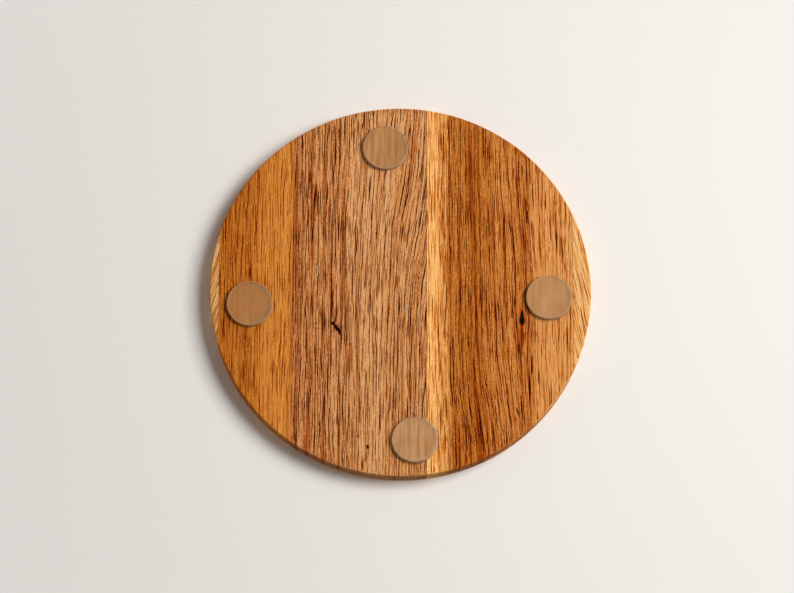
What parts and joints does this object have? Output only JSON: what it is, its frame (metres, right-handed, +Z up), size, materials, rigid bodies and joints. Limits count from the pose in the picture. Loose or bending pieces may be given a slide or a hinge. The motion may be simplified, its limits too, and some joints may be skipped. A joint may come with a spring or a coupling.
{
  "type": "drink coaster",
  "caption": "Round drink coaster: a flat disc cut from an edge-glued hardwood panel, with a rounded drink-face edge, standing on clear stick-on elastomer feet.",
  "frame": {"origin": "on the table plane under the feet, on the disc's axis", "axes": "+Z up from the table to the drink face, Y along the wood grain, X across the staves"},
  "size_m": [0.1, 0.1, 0.0075],
  "materials": {
    "pale_edge_wood": "oiled, pale straight-grained hardwood",
    "wide_stave_wood": "oiled hardwood, orange brown with a pale sapwood band",
    "centre_stave_wood": "oiled hardwood, tan brown with dark streaks",
    "narrow_stave_wood": "oiled hardwood, warm orange brown",
    "brown_edge_wood": "oiled hardwood, light brown",
    "wood_glue": "cured glue, flush with the wood",
    "clear_elastomer": "frosted clear",
    "acrylic_adhesive": "clear, tacky"
  },
  "bodies": {
    "root": {"pale_edge_strip": "pale_edge_wood", "glue_line_1": "wood_glue", "wide_stave": "wide_stave_wood", "glue_line_2": "wood_glue", "centre_stave": "centre_stave_wood", "glue_line_3": "wood_glue", "narrow_stave": "narrow_stave_wood", "glue_line_4": "wood_glue", "brown_edge_strip": "brown_edge_wood", "foot_pad_right": "clear_elastomer", "adhesive_right": "acrylic_adhesive", "foot_pad_back": "clear_elastomer", "adhesive_back": "acrylic_adhesive", "foot_pad_left": "clear_elastomer", "adhesive_left": "acrylic_adhesive", "foot_pad_front": "clear_elastomer", "adhesive_front": "acrylic_adhesive"}
  },
  "joints": []
}
